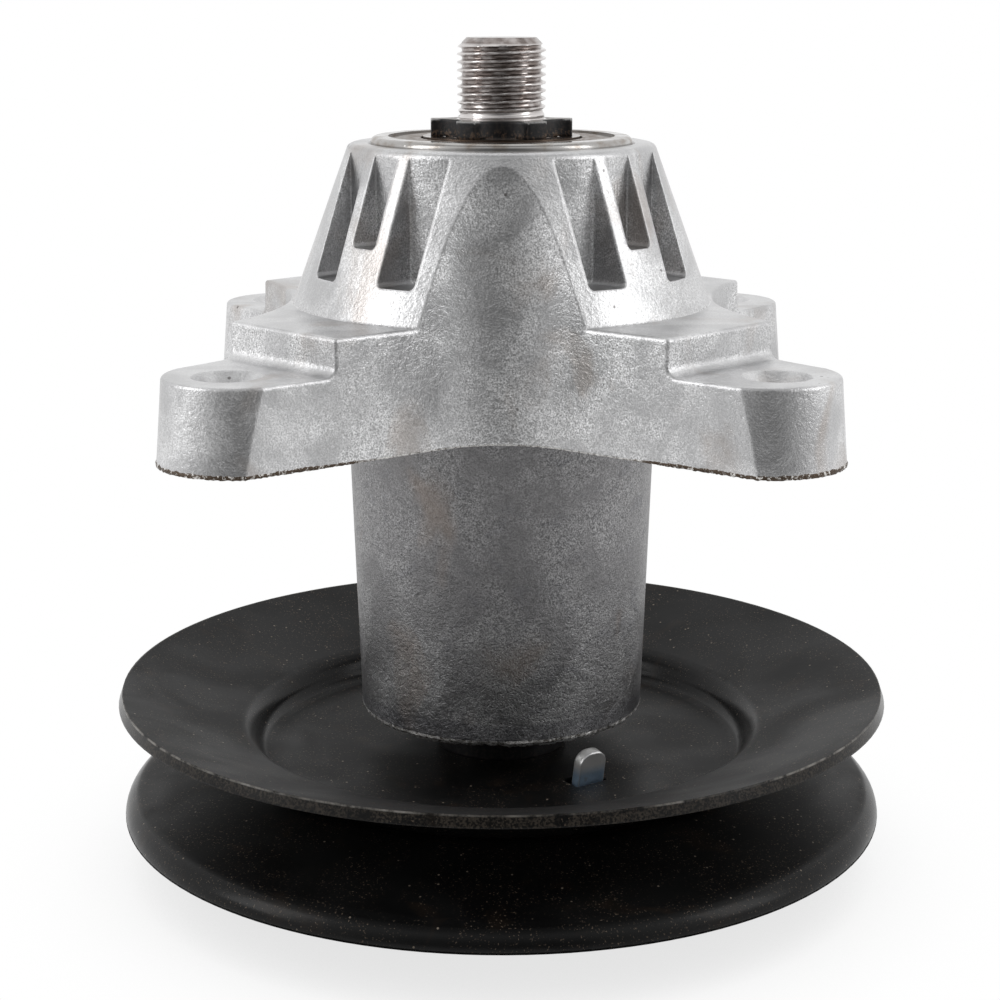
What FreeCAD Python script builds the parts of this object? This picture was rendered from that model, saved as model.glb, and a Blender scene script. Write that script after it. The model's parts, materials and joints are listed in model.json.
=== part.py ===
import FreeCAD, Part
import math
import os

# Mower deck spindle, in millimetres.
# The origin is the centre of the deck mounting face under the ears, and +Z points to the blade end.

# Deck bolts and ears
bolt_circle_diameter = 127.0
bolt_count = 4
bolt_hole_radius = 3.6
countersink_radius = 5.9
countersink_depth = 2.3
arm_angle = 45.0
ear_thickness = 14.6
ear_tip_radius = 13.9
ear_tip_setback = 2.6
ear_tip_draft_angle = 4.8
arm_half_width = 13.8
arm_draft_angle = 1.1
riser_setback = 12.0
step_rise = 6.3
riser_fillet = 1.8
scoop_margin = 2.0
side_ledge = 0.8
waist_draft_angle = 2.4
foot_taper_angle = 8.0
step_taper_angle = 6.0
nose_taper_angle = 6.5
side_taper_angle = 6.0
casting_rounding = 0.6

# Ribbed cone above the ears
nose_height = 49.3
nose_wall = 4.0
nose_rounding = 1.4
cone_half_angle = 20.2
tube_wall = 4.4
rib_width = 2.4
middle_pocket_half_width = 2.9
side_pocket_width = 7.3
middle_pocket_floor_rise = 11.9
side_pocket_floor_rise = 5.9
pocket_corner_radius = 1.0

# Boss below the ears
boss_length = 55.9
boss_wall = 4.8
boss_draft_angle = 1.9
boss_chamfer = 0.8
bore_chamfer = 0.6
shoulder_width = 1.5

# Ball bearings, the same size at both ends
bearing_bore_radius = 10.0
bearing_outer_radius = 23.5
bearing_width = 14.0
bearing_edge_rounding = 1.0
bearing_proud = 1.2
bearing_recess = 1.0
ball_count = 8
ball_radius = 3.97
race_shoulder = 2.6
race_clearance = 0.08
cage_half_width = 1.3
cage_thickness = 0.7
cage_clearance = 0.1
shield_seat_depth = 1.0
shield_inner_gap = 0.4
shield_thickness = 0.5
shield_recess = 0.6
shield_step = 0.3
shield_rim_width = 1.4
fit_clearance = 0.01

# Shaft
thread_radius = 7.94
thread_length = 12.2
thread_chamfer = 1.7
neck_radius = 7.6
neck_length = 2.0
star_seat_radius = 8.05
pulley_seat_radius = 8.7
pulley_seat_flats = 14.2
shoulder_setback = 0.5
shaft_end_margin = 1.5

# Blade star
star_point_count = 6
star_tip_radius = 12.7
star_tip_width = 3.7
star_root_radius = 9.1
star_thickness = 3.0

# Sleeve and spacer
sleeve_wall = 3.0
pulley_spacer_radius = 12.3
pulley_spacer_length = 9.1
sleeve_clearance = 0.15

# Pulley
sheet_thickness = 2.2
cup_radius = 45.6
cup_depth = 4.8
cup_wall_spread = 1.8
cup_bend = 3.0
pulley_rim_radius = 71.6
upper_rim_setback = 0.3
upper_flange_angle = 19.0
groove_bend = 4.0
lower_flange_angle = 11.4
lip_bend = 2.4
lip_drop = 3.5
keyed_clearance = 0.1

# Drive plate
plate_thickness = 2.0
plate_disc_radius = 20.0
tab_count = 2
tab_direction_angle = -55.5
tab_distance = 27.8
tab_width = 5.6
tab_height = 6.4
tab_lean_angle = 10.0
tab_bend = 1.0
tab_tip_radius = 2.3
slot_side_gap = 0.6
slot_end_gap = 0.4

# Pulley nut
nut_side_count = 6
nut_across_flats = 23.8
nut_height = 14.0
nut_flange_radius = 15.0
nut_flange_thickness = 2.2
nut_chamfer_angle = 30.0


def tan(degrees):
    return math.tan(math.radians(degrees))


# Heights and distances worked out from the sizes above
z_axis = FreeCAD.Vector(0, 0, 1)
origin = FreeCAD.Vector(0, 0, 0)
step_top = ear_thickness + step_rise
side_pocket_floor = step_top + side_pocket_floor_rise
middle_pocket_floor = step_top + middle_pocket_floor_rise
blade_bearing_top = nose_height + bearing_proud
blade_bearing_bottom = blade_bearing_top - bearing_width
pulley_bearing_bottom = -boss_length + bearing_recess
pulley_bearing_top = pulley_bearing_bottom + bearing_width
star_top = blade_bearing_top + star_thickness
shaft_top = star_top + neck_length + thread_length
web_top = pulley_bearing_bottom - pulley_spacer_length
web_joint = web_top - sheet_thickness
web_bottom = web_joint - sheet_thickness
plate_bottom = web_bottom - plate_thickness
nut_bottom = plate_bottom - nut_height
shaft_bottom = nut_bottom - shaft_end_margin
bolt_distance = bolt_circle_diameter / 2
ear_tip_distance = bolt_distance - ear_tip_setback
ear_end = ear_tip_distance + ear_tip_radius
riser_distance = bolt_distance - riser_setback
nose_radius = bearing_outer_radius + nose_wall
tube_radius = bearing_outer_radius + tube_wall
boss_top_radius = bearing_outer_radius + boss_wall
cone_foot_radius = nose_radius + (nose_height - step_top) * tan(cone_half_angle)
scoop_distance = boss_top_radius + scoop_margin
side_distance = cone_foot_radius + side_ledge + step_top * tan(waist_draft_angle)
side_pocket_inner = middle_pocket_half_width + rib_width
side_pocket_outer = side_pocket_inner + side_pocket_width
ball_circle_radius = (bearing_bore_radius + bearing_outer_radius) / 2
inner_shoulder_radius = ball_circle_radius - race_shoulder
outer_shoulder_radius = ball_circle_radius + race_shoulder
shield_seat_radius = outer_shoulder_radius + shield_seat_depth
shield_inner_radius = inner_shoulder_radius + shield_inner_gap
groove_radius = cup_radius + cup_wall_spread
upper_rim_radius = pulley_rim_radius - upper_rim_setback


def vec(x, y, z):
    return FreeCAD.Vector(x, y, z)


def polar(radius, degrees, z=0.0):
    angle = math.radians(degrees)
    return vec(radius * math.cos(angle), radius * math.sin(angle), z)


def line(start, end):
    return Part.LineSegment(start, end).toShape()


def turned(shape, degrees):
    copy = shape.copy()
    copy.rotate(origin, z_axis, degrees)
    return copy


def cylinder(radius, bottom, top):
    return Part.makeCylinder(radius, top - bottom, vec(0, 0, bottom))


def ring(outer, inner, bottom, top):
    return cylinder(outer, bottom, top).cut(cylinder(inner, bottom, top))


def revolved(edges):
    face = Part.Face(Part.Wire(edges))
    return face.revolve(origin, z_axis, 360)


def rounded_path(corners, radii):
    """Straight runs through the corners, with an arc of the given radius at each inner corner."""
    edges = []
    start = corners[0]
    for before, corner, after, radius in zip(corners, corners[1:], corners[2:], radii):
        if radius == 0:
            edges.append(line(start, corner))
            start = corner
            continue
        back = (before - corner).normalize()
        ahead = (after - corner).normalize()
        half_angle = back.getAngle(ahead) / 2
        reach = radius / math.tan(half_angle)
        inward = (back + ahead).normalize()
        arc_start = corner + back * reach
        arc_middle = corner + inward * (radius / math.sin(half_angle) - radius)
        arc_end = corner + ahead * reach
        edges.append(line(start, arc_start))
        edges.append(Part.Arc(arc_start, arc_middle, arc_end).toShape())
        start = arc_end
    edges.append(line(start, corners[-1]))
    return edges


def sheet_section(corners, bends, thickness):
    """Edges round a bent sheet, whose upper face follows the corners; bends are inside radii."""
    runs = [(end - start).normalize() for start, end in zip(corners, corners[1:])]
    downs = [vec(run.z, 0, -run.x) for run in runs]
    lower = [corners[0] + downs[0] * thickness]
    upper_radii = []
    lower_radii = []
    for corner, down, next_down, bend in zip(corners[1:], downs, downs[1:], bends):
        lower.append(corner + (down + next_down) * (thickness / (1 + down.dot(next_down))))
        turns_up = down.x * next_down.z - down.z * next_down.x > 0
        upper_radii.append(bend if turns_up else bend + thickness)
        lower_radii.append(bend + thickness if turns_up else bend)
    lower.append(corners[-1] + downs[-1] * thickness)
    lower.reverse()
    lower_radii.reverse()
    edges = rounded_path(corners, upper_radii)
    edges.append(line(corners[-1], lower[0]))
    edges += rounded_path(lower, lower_radii)
    edges.append(line(lower[-1], corners[0]))
    return edges


# Housing

def arc_start(waist, half_width, taper_angle):
    """Where a straight side of an arm runs into the arc of a waist, along and across the arm."""
    normal = polar(1, 90 - taper_angle)
    distance = riser_distance * normal.x + half_width * normal.y
    spread = math.cos(math.radians(45 - taper_angle))
    arc_radius = (waist * spread - distance) / (1 - spread)
    return polar(waist + arc_radius, 45) - normal * arc_radius


def plan_outline(z, taper_angle):
    """Outline at one height: four arms, with scoops at the front and back and fuller waists at the sides."""
    half_width = arm_half_width - z * tan(arm_draft_angle)
    waists = [distance - z * tan(waist_draft_angle) for distance in (scoop_distance, side_distance)]
    tapers = [taper_angle, side_taper_angle]
    starts = [arc_start(waist, half_width, taper) for waist, taper in zip(waists, tapers)]
    ends = [vec(ear_end, half_width - (ear_end - riser_distance) * tan(taper), 0) for taper in tapers]

    edges = []
    for arm in range(4):
        along = polar(1, arm_angle + 90 * arm)
        across = polar(1, arm_angle + 90 * (arm + 1))
        lift = vec(0, 0, z)
        left = arm % 2
        right = 1 - left
        right_start = along * starts[right].x - across * starts[right].y + lift
        right_end = along * ends[right].x - across * ends[right].y + lift
        left_end = along * ends[left].x + across * ends[left].y + lift
        left_start = along * starts[left].x + across * starts[left].y + lift
        waist_middle = polar(waists[left], arm_angle + 45 + 90 * arm, z)
        next_start = across * starts[left].x + along * starts[left].y + lift
        edges.append(line(right_start, right_end))
        edges.append(line(right_end, left_end))
        edges.append(line(left_end, left_start))
        edges.append(Part.Arc(left_start, waist_middle, next_start).toShape())
    return Part.Wire(edges)


def lower_prism():
    """Space inside the side walls, from the mounting face to the top of the steps."""
    foot = plan_outline(0, foot_taper_angle)
    step = plan_outline(step_top, step_taper_angle)
    return Part.makeLoft([foot, step], True, True)


def upper_prism():
    """Space between the scoops, from the top of the steps to the nose."""
    step = plan_outline(step_top, step_taper_angle)
    nose = plan_outline(nose_height, nose_taper_angle)
    return Part.makeLoft([step, nose], True, True)


def arm_bar():
    """Side view of one arm, with the step and its filleted foot, drawn out sideways."""
    half = [
        vec(0, 0, 0),
        vec(ear_end, 0, 0),
        vec(ear_end, 0, ear_thickness),
        vec(riser_distance, 0, ear_thickness),
        vec(riser_distance, 0, step_top),
        vec(0, 0, step_top),
    ]
    edges = rounded_path(half, [0, 0, riser_fillet, 0])
    edges.append(line(half[-1], half[0]))
    face = Part.Face(Part.Wire(edges))
    face.translate(vec(0, -side_distance, 0))
    return face.extrude(vec(0, 2 * side_distance, 0))


def cone_body():
    foot_radius = nose_radius + nose_height * tan(cone_half_angle)
    corners = [
        vec(0, 0, 0),
        vec(foot_radius, 0, 0),
        vec(nose_radius, 0, nose_height),
        vec(0, 0, nose_height),
    ]
    edges = rounded_path(corners, [0, nose_rounding])
    edges.append(line(corners[-1], corners[0]))
    return revolved(edges)


def pocket(inner, outer, floor):
    """Tool for one pocket, between two offsets from the arm's middle plane."""
    corners = [
        vec(0, inner, nose_height),
        vec(0, inner, floor),
        vec(0, outer, floor),
        vec(0, outer, nose_height),
    ]
    edges = rounded_path(corners, [pocket_corner_radius, pocket_corner_radius])
    edges.append(line(corners[-1], corners[0]))
    return Part.Face(Part.Wire(edges)).extrude(vec(riser_distance, 0, 0))


def arm_pockets():
    """The three pockets over one arm, open outwards, with the tube wall as their back."""
    tools = Part.makeCompound([
        pocket(-side_pocket_outer, -side_pocket_inner, side_pocket_floor),
        pocket(-middle_pocket_half_width, middle_pocket_half_width, middle_pocket_floor),
        pocket(side_pocket_inner, side_pocket_outer, side_pocket_floor),
    ])
    return tools.cut(cylinder(tube_radius, 0, nose_height))


def boss():
    bottom_radius = boss_top_radius - boss_length * tan(boss_draft_angle)
    corners = [
        vec(0, 0, 0),
        vec(0, 0, -boss_length),
        vec(bottom_radius - boss_chamfer, 0, -boss_length),
        vec(bottom_radius, 0, -boss_length + boss_chamfer),
        vec(boss_top_radius, 0, 0),
        vec(0, 0, 0),
    ]
    return revolved(rounded_path(corners, [0, 0, 0, 0]))


def housing_bore():
    """Seats of the two bearings and the wider core between their shoulders."""
    seat = bearing_outer_radius + fit_clearance
    core = bearing_outer_radius - shoulder_width
    corners = [
        vec(0, 0, -boss_length),
        vec(seat + bore_chamfer, 0, -boss_length),
        vec(seat, 0, -boss_length + bore_chamfer),
        vec(seat, 0, pulley_bearing_top),
        vec(core, 0, pulley_bearing_top),
        vec(core, 0, blade_bearing_bottom),
        vec(seat, 0, blade_bearing_bottom),
        vec(seat, 0, nose_height - bore_chamfer),
        vec(seat + bore_chamfer, 0, nose_height),
        vec(0, 0, nose_height),
        vec(0, 0, -boss_length),
    ]
    return revolved(rounded_path(corners, [0] * (len(corners) - 2)))


def bolt_holes():
    hole = cylinder(bolt_hole_radius, 0, ear_thickness)
    sink = Part.makeCone(
        bolt_hole_radius,
        countersink_radius,
        countersink_depth,
        vec(0, 0, ear_thickness - countersink_depth),
    )
    tool = hole.fuse(sink)
    tools = []
    for index in range(bolt_count):
        copy = tool.copy()
        copy.translate(polar(bolt_distance, arm_angle + index * 360 / bolt_count))
        tools.append(copy)
    return Part.makeCompound(tools)


def tip_cutter():
    """What is cut away round the conical tip of one ear."""
    reach = 2 * ear_tip_radius
    block = Part.makeBox(reach, 2 * reach, step_top, vec(ear_tip_distance, -reach, 0))
    top_radius = ear_tip_radius - step_top * tan(ear_tip_draft_angle)
    return block.cut(Part.makeCone(ear_tip_radius, top_radius, step_top, vec(ear_tip_distance, 0, 0)))


def is_foot_border(edge):
    """True for the level lines square to an arm where the fillet at the foot of its step begins and ends."""
    first = edge.Vertexes[0].Point
    run = edge.Vertexes[-1].Point - first
    level = abs(run.z) < fit_clearance and first.z < step_top - fit_clearance
    square = min(abs(run.dot(polar(1, arm_angle + 90 * arm))) for arm in range(4)) < fit_clearance
    return edge.Curve.TypeId == "Part::GeomLine" and level and square


def upper_edges(flange):
    """Edges round the tops of the ears and steps, which the casting leaves rounded."""
    levels = [ear_thickness, ear_thickness + riser_fillet, step_top]
    chosen = []
    for edge in flange.Edges:
        heights = [vertex.Z for vertex in edge.Vertexes]
        off_level = [min(abs(height - level) for level in levels) for height in heights]
        if max(off_level) < fit_clearance and not is_foot_border(edge):
            chosen.append(edge)
    return chosen


def arms():
    """The four arms with their steps and ears, rounded along their upper edges."""
    bars = [turned(arm_bar(), arm_angle + 90 * arm) for arm in range(4)]
    cutters = [turned(tip_cutter(), arm_angle + 90 * arm) for arm in range(4)]
    flange = bars[0].fuse(bars[1:]).common(lower_prism()).cut(cutters).removeSplitter()
    return flange.makeFillet(casting_rounding, upper_edges(flange))


def scooped_cone():
    """The cone above the arms, with two scoops and with pockets over each arm."""
    pockets = [turned(arm_pockets(), arm_angle + 90 * arm) for arm in range(4)]
    cone = turned(cone_body(), arm_angle)
    return cone.common(lower_prism().fuse(upper_prism())).cut(pockets)


def spindle_housing():
    body = arms().fuse([scooped_cone(), boss()])
    body = body.cut([housing_bore(), bolt_holes()])
    return body.removeSplitter()


# Bearings

def race_torus(middle):
    return Part.makeTorus(ball_circle_radius, ball_radius + race_clearance, vec(0, 0, middle))


def rounded_ring(outer, inner, bottom, top, rounded_radius):
    """Ring whose edges are rounded on the one wall that fits its seat."""
    blank = ring(outer, inner, bottom, top)
    edges = [edge for edge in blank.Edges if edge.Curve.TypeId == "Part::GeomCircle"]
    fitted = [edge for edge in edges if abs(edge.Curve.Radius - rounded_radius) < fit_clearance]
    return blank.makeFillet(bearing_edge_rounding, fitted)


def bearing_outer_ring(bottom):
    top = bottom + bearing_width
    body = rounded_ring(
        bearing_outer_radius, outer_shoulder_radius, bottom, top, bearing_outer_radius)
    seat_depth = shield_recess + shield_thickness
    seats = [
        cylinder(shield_seat_radius, bottom, bottom + seat_depth),
        cylinder(shield_seat_radius, top - seat_depth, top),
    ]
    return body.cut([race_torus(bottom + bearing_width / 2)] + seats)


def bearing_inner_ring(bottom):
    top = bottom + bearing_width
    bore = bearing_bore_radius + fit_clearance
    body = rounded_ring(inner_shoulder_radius, bore, bottom, top, bore)
    return body.cut(race_torus(bottom + bearing_width / 2))


def ball_places(middle):
    step = 360 / ball_count
    return [polar(ball_circle_radius, index * step, middle) for index in range(ball_count)]


def bearing_balls(bottom):
    places = ball_places(bottom + bearing_width / 2)
    return Part.makeCompound([Part.makeSphere(ball_radius, place) for place in places])


def bearing_cage(bottom):
    """Ring round the ball circle with a round pocket for each ball."""
    middle = bottom + bearing_width / 2
    pocket_radius = ball_radius + cage_clearance
    half_height = pocket_radius + cage_thickness
    band = ring(
        ball_circle_radius + cage_half_width,
        ball_circle_radius - cage_half_width,
        middle - half_height,
        middle + half_height,
    )
    pockets = []
    for place in ball_places(middle):
        outwards = vec(place.x, place.y, 0)
        pockets.append(Part.makeSphere(pocket_radius, place, outwards))
    return band.cut(pockets)


def bearing_shield(bottom):
    """Pressed shield in its seat at the upper face of the bearing, with a raised middle."""
    face = bottom + bearing_width - shield_recess
    rim_start = shield_seat_radius - shield_rim_width
    corners = [
        vec(shield_inner_radius, 0, face + shield_step),
        vec(rim_start - shield_step, 0, face + shield_step),
        vec(rim_start, 0, face),
        vec(shield_seat_radius, 0, face),
    ]
    return revolved(sheet_section(corners, [shield_step / 2, shield_step / 2], shield_thickness))


def bearing(name, bottom):
    shield = bearing_shield(bottom)
    return {
        name + "_outer_ring": bearing_outer_ring(bottom),
        name + "_inner_ring": bearing_inner_ring(bottom),
        name + "_balls": bearing_balls(bottom),
        name + "_cage": bearing_cage(bottom),
        name + "_upper_shield": shield,
        name + "_lower_shield": shield.mirror(vec(0, 0, bottom + bearing_width / 2), z_axis),
    }


# Shaft and what is clamped on it

def flats_block(clearance, bottom, top):
    """Block as wide as the two flats of the pulley seat are apart."""
    flats = pulley_seat_flats + 2 * clearance
    reach = 2 * (pulley_seat_radius + clearance)
    return Part.makeBox(reach, flats, top - bottom, vec(-reach / 2, -flats / 2, bottom))


def keyed_bar(clearance, bottom, top):
    """Round bar with two flats, for the pulley seat and the holes that fit it."""
    bar = cylinder(pulley_seat_radius + clearance, bottom, top)
    return bar.common(flats_block(clearance, bottom, top))


def spindle_shaft():
    """Turned shaft; the flats of the pulley seat run on through the lower thread."""
    shoulder = web_top + shoulder_setback
    seat_end = plate_bottom + shoulder_setback
    thread_start = star_top + neck_length
    corners = [
        vec(0, 0, shaft_top),
        vec(thread_radius - thread_chamfer, 0, shaft_top),
        vec(thread_radius, 0, shaft_top - thread_chamfer),
        vec(thread_radius, 0, thread_start),
        vec(neck_radius, 0, thread_start),
        vec(neck_radius, 0, star_top),
        vec(star_seat_radius, 0, star_top),
        vec(star_seat_radius, 0, blade_bearing_top),
        vec(bearing_bore_radius, 0, blade_bearing_top),
        vec(bearing_bore_radius, 0, shoulder),
        vec(0, 0, shoulder),
        vec(0, 0, shaft_top),
    ]
    upper = revolved(rounded_path(corners, [0] * (len(corners) - 2)))
    tail = [
        vec(0, 0, shoulder),
        vec(thread_radius, 0, shoulder),
        vec(thread_radius, 0, shaft_bottom + thread_chamfer),
        vec(thread_radius - thread_chamfer, 0, shaft_bottom),
        vec(0, 0, shaft_bottom),
        vec(0, 0, shoulder),
    ]
    lower = revolved(rounded_path(tail, [0] * (len(tail) - 2)))
    lower = lower.common(flats_block(0, shaft_bottom, shoulder))
    return upper.fuse([lower, keyed_bar(0, seat_end, shoulder)]).removeSplitter()


def blade_star():
    pitch = 360 / star_point_count
    half_tip = math.degrees(math.asin(star_tip_width / 2 / star_tip_radius))
    edges = []
    for point in range(star_point_count):
        middle = point * pitch
        tip_start = polar(star_tip_radius, middle - half_tip, blade_bearing_top)
        tip = polar(star_tip_radius, middle, blade_bearing_top)
        tip_end = polar(star_tip_radius, middle + half_tip, blade_bearing_top)
        root = polar(star_root_radius, middle + pitch / 2, blade_bearing_top)
        next_tip = polar(star_tip_radius, middle + pitch - half_tip, blade_bearing_top)
        edges.append(Part.Arc(tip_start, tip, tip_end).toShape())
        edges.append(Part.Arc(tip_end, root, next_tip).toShape())
    blank = Part.Face(Part.Wire(edges)).extrude(vec(0, 0, star_thickness))
    return blank.cut(cylinder(star_seat_radius + fit_clearance, blade_bearing_top, star_top))


def spacer_sleeve():
    inner = bearing_bore_radius + sleeve_clearance
    return ring(inner + sleeve_wall, inner, pulley_bearing_top, blade_bearing_bottom)


def pulley_spacer():
    inner = bearing_bore_radius + sleeve_clearance
    return ring(pulley_spacer_radius, inner, web_top, pulley_bearing_bottom)


# Pulley

def at_each_tab(shape):
    return [turned(shape, tab_direction_angle + index * 360 / tab_count) for index in range(tab_count)]


def tab_slots(bottom, top):
    """Slots in the web, one for each tab of the drive plate."""
    lean_reach = (web_top - web_bottom) * tan(tab_lean_angle)
    start = tab_distance - plate_thickness - tab_bend - slot_end_gap
    end = tab_distance + lean_reach + slot_end_gap
    width = tab_width + 2 * slot_side_gap
    slot = Part.makeBox(end - start, width, top - bottom, vec(start, -width / 2, bottom))
    corners = [edge for edge in slot.Edges if abs(edge.Vertexes[0].Z - edge.Vertexes[1].Z) > 0]
    return at_each_tab(slot.makeFillet(slot_end_gap, corners))


def pulley_half(corners, bends, bottom, top):
    blank = revolved(sheet_section(corners, bends, sheet_thickness))
    return blank.cut([keyed_bar(keyed_clearance, bottom, top)] + tab_slots(bottom, top))


def pulley_upper_half():
    foot = web_top + cup_depth
    rim_top = foot + (upper_rim_radius - groove_radius) * tan(upper_flange_angle)
    corners = [
        vec(0, 0, web_top),
        vec(cup_radius, 0, web_top),
        vec(groove_radius, 0, foot),
        vec(upper_rim_radius, 0, rim_top),
    ]
    return pulley_half(corners, [cup_bend, cup_bend], web_joint, web_top)


def pulley_lower_half():
    lip = web_joint - (pulley_rim_radius - groove_radius) * tan(lower_flange_angle)
    corners = [
        vec(0, 0, web_joint),
        vec(groove_radius, 0, web_joint),
        vec(pulley_rim_radius, 0, lip),
        vec(pulley_rim_radius, 0, lip - lip_drop),
    ]
    return pulley_half(corners, [groove_bend, lip_bend], web_bottom, web_joint)


def drive_tab():
    """Arm under the web with its end bent up as a round-topped tab."""
    height = web_top + tab_height - web_bottom
    corners = [
        vec(0, 0, web_bottom),
        vec(tab_distance - plate_thickness, 0, web_bottom),
        vec(tab_distance - plate_thickness + height * tan(tab_lean_angle), 0, web_bottom + height),
    ]
    face = Part.Face(Part.Wire(sheet_section(corners, [tab_bend], plate_thickness)))
    face.translate(vec(0, -tab_width / 2, 0))
    arm = face.extrude(vec(0, tab_width, 0))
    top = max(vertex.Z for vertex in arm.Vertexes) - plate_thickness
    lowest = [min(vertex.Z for vertex in edge.Vertexes) for edge in arm.Edges]
    sides = [edge.CenterOfMass.y for edge in arm.Edges]
    tip_corners = [
        edge for edge, low, side in zip(arm.Edges, lowest, sides)
        if low > top and abs(side) > tab_width / 4
    ]
    return arm.makeFillet(tab_tip_radius, tip_corners)


def drive_plate():
    disc = cylinder(plate_disc_radius, plate_bottom, web_bottom)
    body = disc.fuse(at_each_tab(drive_tab()))
    return body.cut(keyed_bar(keyed_clearance, plate_bottom, web_bottom)).removeSplitter()


def pulley_nut():
    """Flange nut: hexagon chamfered at its free end, on a round flange."""
    flange_bottom = plate_bottom - nut_flange_thickness
    side_angle = 360 / nut_side_count
    flat_radius = nut_across_flats / 2
    corner_radius = flat_radius / math.cos(math.radians(side_angle / 2))
    corners = [polar(corner_radius, side_angle * side, nut_bottom) for side in range(nut_side_count + 1)]
    prism = Part.Face(Part.makePolygon(corners)).extrude(vec(0, 0, nut_height))
    chamfer = (corner_radius - flat_radius) * tan(nut_chamfer_angle)
    trim = [
        vec(0, 0, nut_bottom),
        vec(flat_radius, 0, nut_bottom),
        vec(corner_radius, 0, nut_bottom + chamfer),
        vec(corner_radius, 0, flange_bottom),
        vec(nut_flange_radius, 0, flange_bottom),
        vec(nut_flange_radius, 0, plate_bottom),
        vec(0, 0, plate_bottom),
        vec(0, 0, nut_bottom),
    ]
    hex_part = prism.common(revolved(rounded_path(trim, [0] * (len(trim) - 2))))
    flange = cylinder(nut_flange_radius, flange_bottom, plate_bottom)
    bore = cylinder(thread_radius + fit_clearance, nut_bottom, plate_bottom)
    return hex_part.fuse(flange).cut(bore).removeSplitter()


def all_parts():
    parts = {
        "spindle_housing": spindle_housing(),
        "spindle_shaft": spindle_shaft(),
        "blade_star": blade_star(),
        "spacer_sleeve": spacer_sleeve(),
        "pulley_spacer": pulley_spacer(),
        "pulley_upper_half": pulley_upper_half(),
        "pulley_lower_half": pulley_lower_half(),
        "drive_plate": drive_plate(),
        "pulley_nut": pulley_nut(),
    }
    parts.update(bearing("blade_bearing", blade_bearing_bottom))
    parts.update(bearing("pulley_bearing", pulley_bearing_bottom))
    return parts


os.makedirs("parts", exist_ok=True)
for name, shape in all_parts().items():
    shape.exportStep("parts/" + name + ".step")
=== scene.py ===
import json
import math
import random

import bpy
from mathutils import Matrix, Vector

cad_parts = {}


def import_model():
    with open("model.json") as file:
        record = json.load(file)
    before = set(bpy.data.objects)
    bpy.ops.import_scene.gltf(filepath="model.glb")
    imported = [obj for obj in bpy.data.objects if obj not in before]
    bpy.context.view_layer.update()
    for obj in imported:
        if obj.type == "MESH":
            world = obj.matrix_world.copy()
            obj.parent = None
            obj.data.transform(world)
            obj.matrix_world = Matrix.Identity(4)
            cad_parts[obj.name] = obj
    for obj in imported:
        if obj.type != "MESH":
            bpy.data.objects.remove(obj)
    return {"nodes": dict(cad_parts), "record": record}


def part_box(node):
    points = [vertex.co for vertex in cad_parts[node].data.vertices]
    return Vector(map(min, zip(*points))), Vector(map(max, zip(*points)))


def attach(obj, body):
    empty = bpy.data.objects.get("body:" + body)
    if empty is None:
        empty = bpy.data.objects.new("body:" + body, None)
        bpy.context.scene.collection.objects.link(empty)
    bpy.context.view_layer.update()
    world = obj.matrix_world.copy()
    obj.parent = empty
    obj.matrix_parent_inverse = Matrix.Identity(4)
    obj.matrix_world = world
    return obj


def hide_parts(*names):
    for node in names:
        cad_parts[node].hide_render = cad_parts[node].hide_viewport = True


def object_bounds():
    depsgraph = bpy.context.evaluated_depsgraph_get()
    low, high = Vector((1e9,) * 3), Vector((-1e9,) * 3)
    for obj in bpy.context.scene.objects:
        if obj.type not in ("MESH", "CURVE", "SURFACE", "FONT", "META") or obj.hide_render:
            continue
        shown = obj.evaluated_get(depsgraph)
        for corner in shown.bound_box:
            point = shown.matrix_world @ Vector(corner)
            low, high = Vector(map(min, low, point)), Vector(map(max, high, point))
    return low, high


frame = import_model()
cad_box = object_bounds()
nodes = frame["nodes"]

# Mower deck spindle, in metres, in the same frame as the solids.

# Camera
camera_place = (-0.00027, -0.382633, 0.074838)
camera_pitch = 13.479
camera_lens = 75.71
camera_sensor = 36.0

# Softboxes: place, width and height, and power in watts
softboxes = {
    "left_softbox": ((-0.78, -0.24, 0.36), (0.35, 0.5), 1.45),
    "right_softbox": ((0.78, -0.24, 0.36), (0.35, 0.5), 1.2),
    "top_softbox": ((0.0, 0.25, 0.95), (0.9, 0.7), 1.4),
}

# White surroundings: their strength in front, overhead and as light, and the directions where it fades
front_strength = 0.11
front_fade = (-1.05, -0.50)
overhead_strength = 0.3
overhead_fade = (0.70, 0.95)
light_strength = 0.5

# Floor, where its reflection fades towards the front, and the reach and strength of the painted shadow under
# the object
floor_size = 6.0
floor_grey = (0.6, 0.6, 0.6)
floor_fade = (-0.40, -0.10)
painted_shadow_reach = 0.045
painted_shadow_strength = 0.74

# Thread of both shaft ends: 18 threads to the inch, its flats as shares of the pitch, oil below a depth
thread_pitch = 0.0254 / 18
thread_radius = 0.00794
thread_depth = 0.6134 * thread_pitch
thread_chamfer = 0.0017
thread_runout = 0.0030
crest_flat = 1 / 8
root_flat = 1 / 4
oil_depth = 0.0004
rows_per_turn = 14

# Shaft, from the neck under the thread to the pulley's seat
shaft_segments = 96
shaft_angles = [2 * math.pi * step / shaft_segments for step in range(shaft_segments)]
neck_radius = 0.0076
star_seat_radius = 0.00805
journal_radius = 0.0100
pulley_seat_radius = 0.0087
pulley_seat_flats = 0.0142
seat_setback = 0.0005

# Casting flash along the mounting face, with what the ears have more than the walls
flash_spacing = 0.0004
flash_height = 0.0003
flash_height_on_ears = 0.0007
flash_root = 0.0006
ear_start = 0.045
ear_fade = 0.012

# Chipped edge round the foot of the boss, as outward and upward from the foot's lower edge
chip_bulge = 0.00035
chip_swing = 0.0006
chip_top = (0.00082, 0.00085)
chip_middle = (0.00055, 0.00040)
chip_root = (-0.0015, 0.0001)

# Edges of the scene's own pieces stay sharp above this angle, in degrees
smooth_angle = 30.0

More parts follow.
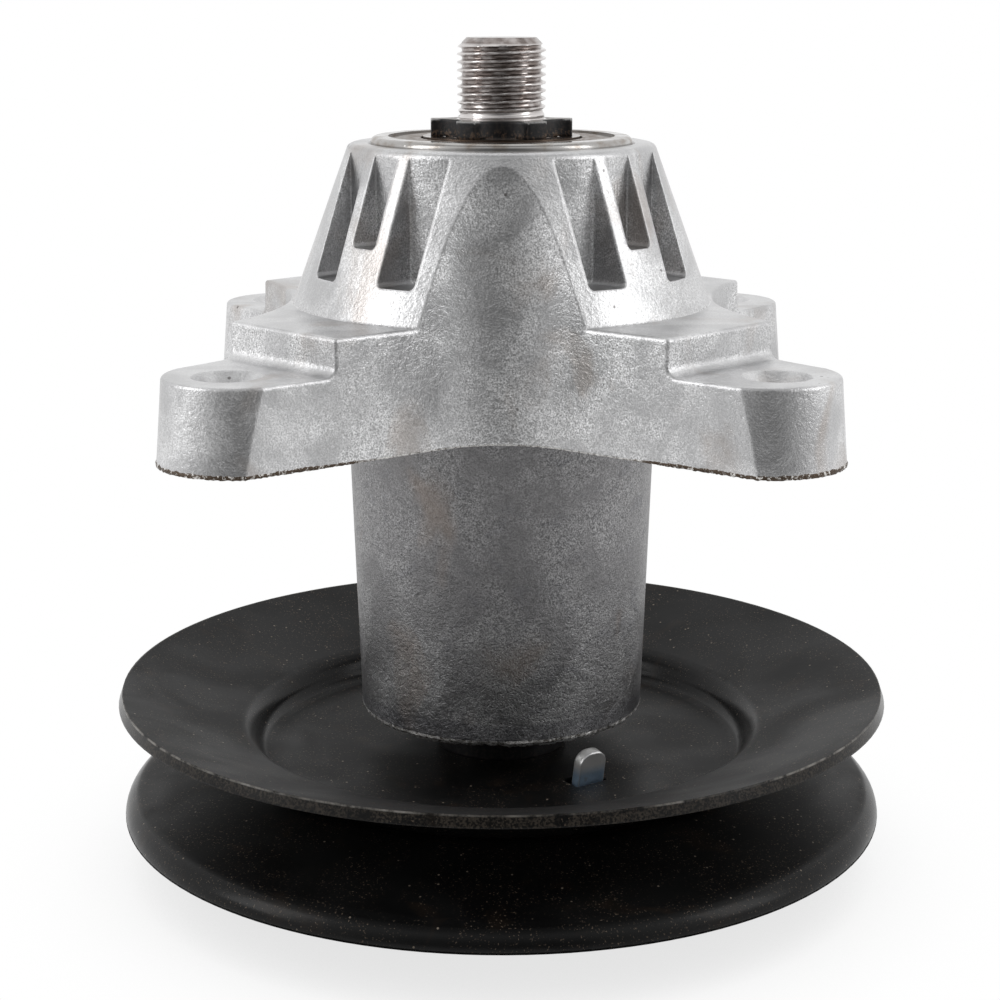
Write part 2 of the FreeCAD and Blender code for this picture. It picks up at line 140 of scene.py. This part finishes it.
# Places on the part that the finishes follow
mount_face_fade = (0.0002, -0.0008)
boss_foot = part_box("spindle_housing")[0][2]
# The boss is painted lighter over this span of height, towards the pulley: painted light.
boss_painted_light_fade = (-0.024, -0.046)
arm_step_low = 0.0196
arm_step_high = 0.0236
star_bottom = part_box("blade_star")[0][2]
star_radius, _, star_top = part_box("blade_star")[1]
rim_radius, _, rim_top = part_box("pulley_upper_half")[1]
tab_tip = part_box("drive_plate")[1][2]
race_radius = 0.0165


# Materials

class Graph:
    """Helpers for putting a node tree together."""

    def __init__(self, tree):
        self.tree = tree

    def node(self, kind):
        return self.tree.nodes.new("ShaderNode" + kind)

    def feed(self, socket, value):
        """Links a socket to another node's output, or sets it to a constant."""
        if isinstance(value, bpy.types.NodeSocket):
            self.tree.links.new(value, socket)
        elif isinstance(value, tuple):
            socket.default_value = value + (1.0,)
        else:
            socket.default_value = value

    def ramp(self, value, start, end, low=0.0, high=1.0):
        """Goes smoothly from low to high while the value goes from start to end."""
        node = self.node("MapRange")
        node.interpolation_type = "SMOOTHSTEP"
        self.feed(node.inputs["Value"], value)
        node.inputs["From Min"].default_value = start
        node.inputs["From Max"].default_value = end
        node.inputs["To Min"].default_value = low
        node.inputs["To Max"].default_value = high
        return node.outputs["Result"]

    def maths(self, operation, first, second=0.0):
        node = self.node("Math")
        node.operation = operation
        self.feed(node.inputs[0], first)
        self.feed(node.inputs[1], second)
        return node.outputs[0]

    def times(self, *values):
        product = values[0]
        for value in values[1:]:
            product = self.maths("MULTIPLY", product, value)
        return product

    def mix(self, share, first, second):
        """First colour where the share is 0 and second where it is 1."""
        node = self.node("Mix")
        node.data_type = "RGBA"
        # The sockets of all data types have the same names, so the colour's are taken by number
        self.feed(node.inputs[0], share)
        self.feed(node.inputs[6], first)
        self.feed(node.inputs[7], second)
        return node.outputs[2]

    def shade(self, colour, level):
        """A colour made darker or lighter by a level about 1."""
        node = self.node("VectorMath")
        node.operation = "SCALE"
        self.feed(node.inputs[0], colour)
        self.feed(node.inputs["Scale"], level)
        return node.outputs[0]

    def axes(self, vector):
        """X, Y and Z of a vector, as the outputs of one node."""
        node = self.node("SeparateXYZ")
        self.feed(node.inputs[0], vector)
        return node.outputs

    def seen_rays(self):
        """1 for rays from the camera, and 1 for rays that metal or glass sends on."""
        path = self.node("LightPath").outputs
        mirrored = self.maths("MAXIMUM", path["Is Glossy Ray"], path["Is Transmission Ray"])
        return path["Is Camera Ray"], mirrored


class Finish(Graph):
    """A node material, in which patterns are placed by the object's own coordinates."""

    def __init__(self, name, metallic):
        self.material = bpy.data.materials.new(name)
        self.material.use_nodes = True
        super().__init__(self.material.node_tree)
        self.shader = self.tree.nodes["Principled BSDF"]
        self.shader.inputs["Metallic"].default_value = metallic
        self.place = self.node("TexCoord").outputs["Object"]
        self.x, self.y, self.z = self.axes(self.place)

    def sized(self, size, stretch):
        """Coordinates in which one unit is the given size, or several of them along a stretched axis."""
        mapping = self.node("Mapping")
        self.feed(mapping.inputs["Vector"], self.place)
        mapping.inputs["Scale"].default_value = [1 / (size * share) for share in stretch]
        return mapping.outputs["Vector"]

    def noise(self, size, detail=3.0, stretch=(1, 1, 1), distortion=0.0, roughness=0.5):
        """Cloudy pattern about 0.5, in patches of about the given size."""
        node = self.node("TexNoise")
        self.feed(node.inputs["Vector"], self.sized(size, stretch))
        node.inputs["Scale"].default_value = 1.0
        node.inputs["Detail"].default_value = detail
        node.inputs["Roughness"].default_value = roughness
        node.inputs["Distortion"].default_value = distortion
        return node.outputs["Fac"]

    def cells(self, size):
        """Distance from the nearest of many scattered points."""
        node = self.node("TexVoronoi")
        self.feed(node.inputs["Vector"], self.sized(size, (1, 1, 1)))
        node.inputs["Scale"].default_value = 1.0
        return node.outputs["Distance"]

    def creases(self, size, width):
        """0 along wandering lines and 1 between them."""
        cloud = self.noise(size, 5.0, distortion=2.0)
        return self.ramp(self.maths("ABSOLUTE", self.maths("SUBTRACT", cloud, 0.5)), 0.0, width)

    def radius(self):
        """Distance from the spindle axis."""
        squares = self.maths("ADD", self.times(self.x, self.x), self.times(self.y, self.y))
        return self.maths("SQRT", squares)

    def rounded(self, reach):
        """Rounds the corners in the shading; gives 1 along them, fading to 0 within the reach."""
        bevel = self.node("Bevel")
        bevel.samples = 6
        bevel.inputs["Radius"].default_value = reach
        self.feed(self.shader.inputs["Normal"], bevel.outputs["Normal"])
        product = self.node("VectorMath")
        product.operation = "DOT_PRODUCT"
        self.feed(product.inputs[0], bevel.outputs["Normal"])
        self.feed(product.inputs[1], self.node("NewGeometry").outputs["Normal"])
        return self.ramp(product.outputs["Value"], 0.98, 0.80)

    def facing_up(self):
        """1 where the surface faces the blade end, -1 where it faces the pulley."""
        return self.axes(self.node("NewGeometry").outputs["Normal"])["Z"]

    def bump(self, pattern, depth, strength=1.0):
        """Adds a pattern to the relief; depth is its height in metres."""
        node = self.node("Bump")
        node.inputs["Strength"].default_value = strength
        node.inputs["Distance"].default_value = depth
        self.feed(node.inputs["Height"], pattern)
        normal = self.shader.inputs["Normal"]
        if normal.links:
            self.feed(node.inputs["Normal"], normal.links[0].from_socket)
        self.feed(normal, node.outputs["Normal"])

    def colour(self, value):
        self.feed(self.shader.inputs["Base Color"], value)

    def gloss(self, value):
        self.feed(self.shader.inputs["Roughness"], value)


def boss_tone(finish, cloud, smear, folds):
    """Dull skin of the boss: dark folds with painted shade along their creases, painted light making it
    paler towards the pulley, and painted shade at the foot.
    """
    dark = (0.215, 0.212, 0.215)
    pale = (0.315, 0.312, 0.315)
    tone = finish.mix(finish.ramp(cloud, 0.36, 0.64), dark, pale)
    tone = finish.mix(finish.ramp(smear, 0.52, 0.66, 0.0, 0.5), tone, (0.20, 0.20, 0.21))
    # Painted shade: the boss is darkened at its foot.
    foot = finish.ramp(finish.z, boss_foot + 0.0045, boss_foot + 0.0033)
    tone = finish.mix(finish.times(foot, 0.4), tone, (0.14, 0.14, 0.155))
    # Painted light: the boss is painted lighter towards the pulley.
    tone = finish.shade(tone, finish.ramp(finish.z, *boss_painted_light_fade, 1.0, 1.4))
    # Painted shade: dark lines along the creases of the folds.
    lines = finish.times(finish.ramp(folds, 0.7, 0.1), finish.ramp(cloud, 0.44, 0.60))
    return finish.mix(finish.times(lines, 0.4), tone, (0.10, 0.10, 0.105))


def casting_speckle(finish, tone, fine, grain, cloud, up):
    """Fine grain, weaker on faces that look up and out on the ears."""
    coarse = finish.times(finish.ramp(up, 0.20, 0.45, 1.0, 0.3), finish.ramp(cloud, 0.38, 0.58, 0.45, 1.0))
    ears = finish.ramp(finish.radius(), ear_start + 0.005, ear_start + 0.019, 1.0, 0.5)
    speckled = finish.shade(tone, finish.ramp(fine, 0.25, 0.75, 0.58, 1.42))
    speckled = finish.shade(speckled, finish.ramp(grain, 0.30, 0.70, 0.86, 1.12))
    return finish.mix(finish.times(coarse, ears), tone, speckled)


def casting_marks(finish, tone, edges, grain, cloud, smear, up):
    """Brown stains, bare upper edges that are partly a painted highlight, dark pits, and dark flecks along
    the edges of the step on the arms.
    """
    stain = finish.ramp(finish.noise(0.014, 4.0, (1, 1, 1.6), 0.8), 0.54, 0.70)
    tone = finish.mix(finish.times(stain, 0.35), tone, (0.32, 0.25, 0.20))
    # Worn bare upper edges, partly a painted highlight along them.
    wear_and_highlight = finish.times(edges, finish.ramp(up, 0.15, 0.35), finish.ramp(smear, 0.30, 0.55, 0.2, 0.8))
    tone = finish.mix(wear_and_highlight, tone, (0.92, 0.92, 0.92))
    pits = finish.times(finish.ramp(finish.cells(0.0038), 0.10, 0.05), finish.ramp(cloud, 0.52, 0.62))
    tone = finish.mix(finish.times(pits, 0.7), tone, (0.06, 0.05, 0.045))
    # Dark flecks along the edges of the step on the arms.
    step = finish.times(finish.ramp(finish.z, arm_step_low, arm_step_low + 0.0008),
                        finish.ramp(finish.z, arm_step_high, arm_step_high - 0.0014))
    flecks = finish.times(step, edges, finish.ramp(grain, 0.50, 0.58), finish.ramp(cloud, 0.46, 0.54))
    return finish.mix(finish.times(flecks, 0.9), tone, (0.05, 0.042, 0.035))


def cast_aluminium():
    """Die casting: bright and grainy above, dull and creased on the boss, with stains and dark flecks."""
    finish = Finish("cast_aluminium", 1.0)
    edges = finish.rounded(0.0007)
    up = finish.facing_up()
    fine = finish.noise(0.00029, 1.0)
    grain = finish.noise(0.0008, 3.0, roughness=0.65)
    cloud = finish.noise(0.010, 6.0, distortion=0.6)
    smear = finish.noise(0.005, 7.0, (1.3, 1.3, 0.8), 1.0, 0.65)
    folds = finish.creases(0.0020, 0.05)
    boss = finish.ramp(finish.z, *mount_face_fade)

    bright = finish.mix(finish.ramp(cloud, 0.34, 0.66), (0.50, 0.50, 0.505), (0.68, 0.68, 0.685))
    tone = finish.mix(boss, bright, boss_tone(finish, cloud, smear, folds))
    tone = casting_speckle(finish, tone, fine, grain, cloud, up)
    finish.colour(casting_marks(finish, tone, edges, grain, cloud, smear, up))
    finish.gloss(finish.maths("ADD", finish.ramp(cloud, 0.3, 0.7, 0.29, 0.38), finish.times(boss, 0.12)))
    finish.bump(fine, 0.00006, 0.6)
    finish.bump(grain, 0.00016, 0.6)
    finish.bump(finish.times(folds, boss), 0.00006, 0.4)
    finish.bump(smear, 0.0005, 0.2)
    return finish.material


def shaft_steel():
    """Turned steel, with old oil in the roots of the thread."""
    finish = Finish("shaft_steel", 1.0)
    turned = finish.noise(0.00022, 3.0, (30, 30, 1))
    grime = finish.noise(0.0025, 4.0)
    root = finish.ramp(finish.radius(), thread_radius - oil_depth, thread_radius - thread_depth)
    tone = finish.mix(finish.ramp(turned, 0.3, 0.7), (0.56, 0.53, 0.52), (0.72, 0.69, 0.68))
    oil = finish.times(root, finish.ramp(grime, 0.30, 0.60, 0.35, 0.80))
    finish.colour(finish.mix(oil, tone, (0.10, 0.065, 0.05)))
    finish.gloss(finish.ramp(grime, 0.3, 0.7, 0.15, 0.24))
    finish.bump(turned, 0.00001, 0.4)
    return finish.material


def black_oxide():
    """Blackened steel; on the blade star, brown dirt low down, a scraped top, and a painted highlight along
    the top edges of the tips.
    """
    finish = Finish("black_oxide", 0.25)
    edges = finish.rounded(0.0007)
    speck = finish.noise(0.0006, 4.0, roughness=0.7)
    tone = finish.mix(finish.ramp(speck, 0.3, 0.7), (0.006, 0.006, 0.007), (0.016, 0.016, 0.018))

    low = finish.times(finish.ramp(finish.z, star_bottom + 0.0019, star_bottom + 0.0003),
                       finish.ramp(finish.z, star_bottom - 0.0010, star_bottom - 0.0005))
    dirt = finish.times(finish.ramp(speck, 0.48, 0.62), finish.ramp(low, 0.0, 1.0, 0.10, 0.9))
    tone = finish.mix(dirt, tone, (0.17, 0.11, 0.07))
    top = finish.ramp(finish.z, star_top - 0.0006, star_top - 0.0002)
    face = finish.times(top, finish.ramp(finish.facing_up(), 0.5, 0.8))
    scraped = finish.mix(speck, (0.10, 0.07, 0.05), (0.50, 0.48, 0.45))
    tone = finish.mix(finish.times(face, 0.8), tone, scraped)
    # Painted highlight: near-white lines along the top edges of the tips.
    tips = finish.times(top, edges, finish.ramp(finish.radius(), star_radius - 0.0019, star_radius - 0.0009))
    tone = finish.mix(finish.times(tips, finish.ramp(speck, 0.30, 0.46)), tone, (0.90, 0.89, 0.88))

    finish.colour(tone)
    finish.gloss(finish.ramp(speck, 0.3, 0.7, 0.28, 0.45))
    finish.bump(speck, 0.00006, 0.4)
    return finish.material


def paint_dust(finish, tone, up):
    """Brown smudges, fine dust and a few larger grains, most on faces that look up."""
    dusty = finish.ramp(up, -0.2, 0.6, 0.35, 1.0)
    smudge = finish.times(finish.ramp(finish.noise(0.008, 6.0, distortion=1.0), 0.56, 0.72), dusty)
    tone = finish.mix(finish.times(smudge, 0.35), tone, (0.030, 0.019, 0.012))
    thick = finish.ramp(finish.noise(0.011, 4.0, roughness=0.6), 0.34, 0.54)
    fine = finish.times(finish.ramp(finish.noise(0.00036, 2.0), 0.62, 0.72), thick, dusty)
    tone = finish.mix(finish.times(fine, 0.7), tone, (0.26, 0.20, 0.15))
    coarse = finish.times(finish.ramp(finish.cells(0.0030), 0.08, 0.04), dusty)
    return finish.mix(finish.times(coarse, 0.8), tone, (0.42, 0.35, 0.28))


def rim_wear(finish, tone, up, haze):
    """Crumbling paint on the upper half's cut face, and a worn line along the top of it."""
    scuff = finish.noise(0.0030, 6.0, roughness=0.7)
    crumb = finish.ramp(finish.noise(0.0004, 3.0), 0.40, 0.62)
    crumbs = finish.mix(crumb, (0.008, 0.0075, 0.007), (0.055, 0.046, 0.037))
    rim = finish.times(finish.ramp(finish.radius(), rim_radius - 0.0020, rim_radius - 0.0014),
                       finish.ramp(finish.z, rim_top - 0.0082, rim_top - 0.0076))
    cut_face = finish.times(rim, finish.ramp(up, 0.6, 0.3))
    tone = finish.mix(finish.times(cut_face, finish.ramp(scuff, 0.36, 0.52)), tone, crumbs)
    top_edge = finish.times(finish.ramp(finish.z, rim_top - 0.0004, rim_top - 0.0002),
                            finish.ramp(finish.radius(), rim_radius - 0.0010, rim_radius - 0.0007))
    worn = finish.times(top_edge, finish.ramp(scuff, 0.34, 0.64), finish.ramp(haze, 0.40, 0.58, 0.2, 1.0))
    return finish.mix(worn, tone, (0.40, 0.38, 0.35))


def black_paint():
    """Satin black on pressed sheet: dusty and dull on top, worn along the upper half's cut rim."""
    finish = Finish("black_paint", 0.0)
    finish.shader.inputs["Specular IOR Level"].default_value = 0.16
    finish.rounded(0.0005)
    up = finish.facing_up()
    haze = finish.noise(0.018, 5.0, distortion=0.5)
    tone = finish.mix(finish.ramp(haze, 0.3, 0.7), (0.0035, 0.0035, 0.0037), (0.0075, 0.0075, 0.0075))
    tone = paint_dust(finish, tone, up)
    finish.colour(rim_wear(finish, tone, up, haze))
    dull = finish.ramp(up, 0.80, 0.93, 0.25, 0.48)
    finish.gloss(finish.times(dull, finish.ramp(haze, 0.3, 0.7, 0.85, 1.15)))
    finish.bump(finish.noise(0.0009, 3.0), 0.00005, 0.25)
    return finish.material


def zinc_plate():
    """Bright zinc, silver at the tips and bluish lower down, with a painted highlight along the edges."""
    finish = Finish("zinc_plate", 0.8)
    edges = finish.rounded(0.0005)
    blotch = finish.noise(0.0016, 3.0)
    foot = finish.ramp(finish.z, tab_tip - 0.0024, tab_tip - 0.0050)
    tone = finish.mix(foot, (0.88, 0.88, 0.87), (0.36, 0.50, 0.66))
    tone = finish.mix(finish.ramp(blotch, 0.60, 0.72, 0.0, 0.5), tone, (0.30, 0.30, 0.31))
    # Painted highlight: the edges are painted near white.
    finish.colour(finish.mix(finish.times(edges, 0.7), tone, (0.95, 0.95, 0.95)))
    finish.gloss(finish.ramp(blotch, 0.3, 0.7, 0.32, 0.44))
    finish.bump(blotch, 0.0003, 0.4)
    return finish.material


def bearing_steel():
    """Ground rings with a thin brown film, and dirt on the inner ring."""
    finish = Finish("bearing_steel", 1.0)
    film = finish.noise(0.004, 4.0, (1, 1, 0.5))
    ground = finish.noise(0.00015, 2.0, (40, 40, 1))
    tone = finish.mix(finish.ramp(film, 0.40, 0.72), (0.42, 0.41, 0.40), (0.25, 0.21, 0.175))
    inner = finish.ramp(finish.radius(), race_radius + 0.0015, race_radius)
    finish.colour(finish.mix(finish.times(inner, 0.85), tone, (0.12, 0.08, 0.055)))
    finish.gloss(finish.ramp(film, 0.3, 0.7, 0.14, 0.26))
    finish.bump(ground, 0.00001, 0.3)
    return finish.material


def shield_steel():
    """Satin shield with brown dust towards the shaft."""
    finish = Finish("shield_steel", 0.9)
    dust = finish.noise(0.0012, 5.0, roughness=0.7)
    inner = finish.ramp(finish.radius(), race_radius + 0.0035, race_radius)
    tone = finish.mix(finish.ramp(dust, 0.3, 0.7), (0.24, 0.225, 0.21), (0.40, 0.385, 0.37))
    dirty = finish.times(finish.ramp(dust, 0.34, 0.56), finish.ramp(inner, 0.0, 1.0, 0.25, 0.95))
    finish.colour(finish.mix(dirty, tone, (0.13, 0.085, 0.055)))
    finish.gloss(finish.ramp(dust, 0.3, 0.7, 0.30, 0.50))
    finish.bump(dust, 0.00012, 0.4)
    return finish.material


def flash_metal():
    """Torn edge of the casting: on the ears dark brown, for dirt and painted shade under the edge, with bare
    specks; bare and grainy elsewhere.
    """
    finish = Finish("flash_metal", 0.8)
    crumb = finish.noise(0.0008, 4.0, roughness=0.75)
    ears = finish.ramp(finish.radius(), ear_start, ear_start + 0.006)
    bare = finish.mix(finish.ramp(crumb, 0.35, 0.55), (0.20, 0.18, 0.16), (0.85, 0.84, 0.82))
    # On the ears the dark brown is dirt and painted shade under the torn edge.
    brown = finish.mix(finish.ramp(crumb, 0.52, 0.62), (0.085, 0.062, 0.045), (0.85, 0.83, 0.80))
    finish.colour(finish.mix(ears, bare, brown))
    finish.gloss(finish.ramp(crumb, 0.3, 0.7, 0.35, 0.55))
    finish.bump(crumb, 0.0003, 0.7)
    return finish.material


# Pieces

def new_piece(name, points, faces, material, body):
    """A mesh object that moves with a body and counts under a material slot."""
    mesh = bpy.data.meshes.new(name)
    mesh.from_pydata(points, [], faces)
    mesh.validate()
    mesh.materials.append(material)
    mesh.shade_smooth()
    mesh.set_sharp_from_angle(angle=math.radians(smooth_angle))
    piece = bpy.data.objects.new(name, mesh)
    bpy.context.scene.collection.objects.link(piece)
    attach(piece, body)
    return piece


def thread_profile(z, angle, start):
    """Radius of the thread at one height and angle, with rounded crests and roots."""
    phase = ((z - start) / thread_pitch - angle / (2 * math.pi)) % 1.0
    from_crest = abs(phase - 0.5)
    crest_end = crest_flat / 2
    root_start = (1 - root_flat) / 2
    share = min(1.0, max(0.0, (root_start - from_crest) / (root_start - crest_end)))
    return thread_radius - thread_depth * (0.5 + 0.5 * math.cos(math.pi * share))


def threaded_rows(bottom, top, free_end, half_flats):
    """Rows of a thread that is chamfered at its free end and runs out into the neck at the other."""
    count = int((top - bottom) / thread_pitch * rows_per_turn)
    rows = []
    for index in range(count + 1):
        z = bottom + (top - bottom) * index / count
        from_end = abs(free_end - z)
        chamfer = thread_radius - thread_chamfer + from_end
        depth = min(1.0, (top - bottom - from_end) / thread_runout)
        cuts = [thread_profile(z, angle, bottom) for angle in shaft_angles]
        radii = [min(chamfer, neck_radius + (cut - neck_radius) * depth) for cut in cuts]
        rows.append((z, radii, half_flats))
    return rows


def lathe(rows):
    """Points and faces of a turned body; a row is a height, a radius at each angle, and half its flats."""
    points = []
    for z, radii, half_flats in rows:
        for angle, radius in zip(shaft_angles, radii):
            y = radius * math.sin(angle)
            points.append((radius * math.cos(angle), max(-half_flats, min(half_flats, y)), z))
    faces = []
    for row in range(len(rows) - 1):
        for step in range(shaft_segments):
            here = row * shaft_segments + step
            beside = row * shaft_segments + (step + 1) % shaft_segments
            faces.append((here, beside, beside + shaft_segments, here + shaft_segments))
    last = (len(rows) - 1) * shaft_segments
    faces.append(tuple(reversed(range(shaft_segments))))
    faces.append(tuple(range(last, last + shaft_segments)))
    return points, faces


def threaded_shaft(material):
    """The shaft with its threads cut, in place of the plain solid."""
    low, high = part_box("spindle_shaft")
    journal_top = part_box("blade_bearing_inner_ring")[1][2]
    journal_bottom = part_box("pulley_spacer")[0][2] + seat_setback
    seat_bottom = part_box("pulley_nut")[1][2] + seat_setback
    flats = pulley_seat_flats / 2
    no_flats = journal_radius
    shoulders = [
        (seat_bottom, pulley_seat_radius, flats),
        (journal_bottom, pulley_seat_radius, flats),
        (journal_bottom, journal_radius, no_flats),
        (journal_top, journal_radius, no_flats),
        (journal_top, star_seat_radius, no_flats),
        (star_top, star_seat_radius, no_flats),
    ]
    rows = threaded_rows(low[2], seat_bottom, low[2], flats)
    rows += [(z, [radius] * shaft_segments, half_flats) for z, radius, half_flats in shoulders]
    rows += threaded_rows(star_top, high[2], high[2], no_flats)
    points, faces = lathe(rows)
    piece = new_piece("threaded_shaft", points, faces, material, "rotor")
    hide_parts("spindle_shaft")


def mount_outline():
    """Points round the outside of the housing's mounting face, at height 0, evenly spaced."""
    mesh = nodes["spindle_housing"].data
    seen = {}
    for face in mesh.polygons:
        corners = [tuple(round(value, 6) for value in mesh.vertices[index].co) for index in face.vertices]
        if any(z != 0 for x, y, z in corners):
            continue
        # An edge that two faces share lies inside the mounting face
        for start, end in zip(corners, corners[1:] + corners[:1]):
            key = frozenset((start, end))
            seen[key] = None if key in seen else (start, end)
    follows = dict(edge for edge in seen.values() if edge)
    loops = []
    while follows:
        first, point = follows.popitem()
        loop = [first]
        while point in follows:
            loop.append(point)
            point = follows.pop(point)
        loops.append(loop)
    outline = max(loops, key=lambda loop: max(math.hypot(x, y) for x, y, z in loop))
    return evenly_spaced([Vector(point) for point in outline])


def evenly_spaced(loop):
    """Points along a closed loop, one flash spacing apart."""
    points = []
    carried = 0.0
    for start, end in zip(loop, loop[1:] + loop[:1]):
        length = (end - start).length
        while carried < length:
            points.append(start.lerp(end, carried / length))
            carried += flash_spacing
        carried -= length
    return points


def ribbon(name, sections, material):
    """Closed band through matching sections, joined end to end."""
    size = len(sections[0])
    points = [point for section in sections for point in section]
    faces = []
    for index in range(len(sections)):
        after = (index + 1) % len(sections)
        for corner in range(size):
            side = (corner + 1) % size
            here = index * size + corner
            beside = index * size + side
            faces.append((here, beside, after * size + side, after * size + corner))
    new_piece(name, points, faces, material, "housing")


def upward(height):
    return Vector((0, 0, height))


def mount_flash(material):
    """Torn flash along the lower edge of the side walls, thickest round the ears."""
    rng = random.Random(3)
    outline = mount_outline()
    height = flash_height
    sections = []
    for index, point in enumerate(outline):
        ahead = outline[(index + 2) % len(outline)] - outline[index - 2]
        outward = Vector((ahead.y, -ahead.x, 0)).normalized()
        if outward.dot(point) < 0:
            outward = -outward
        on_ear = min(1.0, max(0.0, (math.hypot(point.x, point.y) - ear_start) / ear_fade))
        most = flash_height + flash_height_on_ears * on_ear
        height = 0.6 * height + 0.4 * rng.uniform(0.4, 1.0) * most
        reach = rng.uniform(0.00004, 0.00008 + 0.00008 * on_ear)
        drop = rng.uniform(0.00002, 0.00008 + 0.00010 * on_ear)
        lean = 0.08 * height * on_ear
        sections.append([
            point - outward * (0.00004 + lean) + upward(height),
            point + outward * reach + upward(0.4 * height),
            point + outward * 0.5 * reach - upward(drop),
            point - outward * flash_root + upward(0.00005),
        ])
    ribbon("mount_flash", sections, material)


def boss_flash(material):
    """Chipped edge round the foot of the boss."""
    rng = random.Random(8)
    foot = [vertex.co for vertex in nodes["spindle_housing"].data.vertices if vertex.co.z < boss_foot + 1e-5]
    radius = max(math.hypot(point.x, point.y) for point in foot)
    count = int(2 * math.pi * radius / flash_spacing)
    chip = 0.0
    sections = []
    for index in range(count):
        angle = 2 * math.pi * index / count
        outward = Vector((math.cos(angle), math.sin(angle), 0))
        chip = 0.75 * chip + 0.25 * rng.uniform(-1.0, 1.0)
        bulge = chip_bulge + chip_swing * chip + rng.uniform(-0.00008, 0.00008)
        sections.append([
            outward * (radius + chip_top[0]) + upward(boss_foot + chip_top[1]),
            outward * (radius + chip_middle[0] + 0.5 * bulge) + upward(boss_foot + chip_middle[1]),
            outward * (radius + 0.3 * bulge) + upward(boss_foot - 0.7 * max(0.0, bulge)),
            outward * (radius + chip_root[0]) + upward(boss_foot + chip_root[1]),
        ])
    ribbon("boss_flash", sections, material)


# Stage

def floor():
    """Pale floor: white to the camera and, behind and beside the object, in reflections; with a painted
    shadow under it.
    """
    z = cad_box[0][2]
    mesh = bpy.data.meshes.new("floor")
    corners = [(-floor_size, -floor_size, z), (floor_size, -floor_size, z),
               (floor_size, floor_size, z), (-floor_size, floor_size, z)]
    mesh.from_pydata(corners, [], [(0, 1, 2, 3)])
    ground = bpy.data.objects.new("floor", mesh)
    bpy.context.scene.collection.objects.link(ground)

    finish = Finish("floor", 0.0)
    finish.colour(floor_grey)
    finish.gloss(0.9)
    to_camera, mirrored = finish.seen_rays()
    mirrored = finish.times(mirrored, finish.ramp(finish.y, *floor_fade))
    # Painted shadow: the floor's glow is dimmed where the object covers it.
    painted_shadow_occlusion = finish.node("AmbientOcclusion")
    painted_shadow_occlusion.samples = 6
    painted_shadow_occlusion.inputs["Distance"].default_value = painted_shadow_reach
    glow = finish.node("Emission")
    open_share = painted_shadow_occlusion.outputs["AO"]
    finish.feed(glow.inputs["Strength"], finish.ramp(open_share, 0.0, 0.9, painted_shadow_strength, 1.0))
    both = finish.node("MixShader")
    finish.feed(both.inputs[0], finish.maths("MAXIMUM", to_camera, mirrored))
    finish.feed(both.inputs[1], finish.shader.outputs[0])
    finish.feed(both.inputs[2], glow.outputs[0])
    finish.feed(finish.tree.nodes["Material Output"].inputs["Surface"], both.outputs[0])
    mesh.materials.append(finish.material)


def world():
    """White to the camera; elsewhere white behind and beside the object, dim in front and overhead."""
    sky = bpy.data.worlds.new("studio")
    bpy.context.scene.world = sky
    sky.use_nodes = True
    graph = Graph(sky.node_tree)
    towards = graph.axes(graph.node("TexCoord").outputs["Generated"])
    to_camera, mirrored = graph.seen_rays()
    backdrop = graph.times(graph.ramp(towards["Y"], *front_fade, front_strength, 1.0),
                           graph.ramp(towards["Z"], *overhead_fade, 1.0, overhead_strength))
    lit = graph.times(backdrop, graph.ramp(mirrored, 0.0, 1.0, light_strength, 1.0))
    light = sky.node_tree.nodes["Background"]
    graph.feed(light.inputs["Color"], (1.0, 1.0, 1.0))
    graph.feed(light.inputs["Strength"], graph.maths("MAXIMUM", to_camera, lit))


def softbox(name, place, size, power):
    """A rectangular lamp that faces the origin."""
    lamp = bpy.data.lights.new(name, "AREA")
    lamp.shape = "RECTANGLE"
    lamp.size, lamp.size_y = size
    lamp.energy = power
    box = bpy.data.objects.new(name, lamp)
    bpy.context.scene.collection.objects.link(box)
    box.location = place
    box.rotation_euler = (-Vector(place)).to_track_quat("-Z", "Y").to_euler()


def camera():
    """Looks along +Y, pitched down, with no roll."""
    lens = bpy.data.cameras.new("camera")
    lens.lens = camera_lens
    lens.sensor_width = camera_sensor
    eye = bpy.data.objects.new("camera", lens)
    bpy.context.scene.collection.objects.link(eye)
    eye.location = camera_place
    eye.rotation_euler = (math.radians(90 - camera_pitch), 0, 0)
    bpy.context.scene.camera = eye


finishes = {
    "cast_aluminium": cast_aluminium(),
    "shaft_steel": shaft_steel(),
    "black_oxide": black_oxide(),
    "black_paint": black_paint(),
    "zinc_plate": zinc_plate(),
    "bearing_steel": bearing_steel(),
    "shield_steel": shield_steel(),
}
for subpart in frame["record"]["subparts"]:
    node = nodes[subpart["node"]]
    node.data.materials.clear()
    node.data.materials.append(finishes[subpart["material_slot"]])

threaded_shaft(finishes["shaft_steel"])
torn_edge = flash_metal()
mount_flash(torn_edge)
boss_flash(torn_edge)

floor()
world()
for name, (place, size, power) in softboxes.items():
    softbox(name, place, size, power)
camera()
bpy.context.scene.view_settings.view_transform = "Standard"
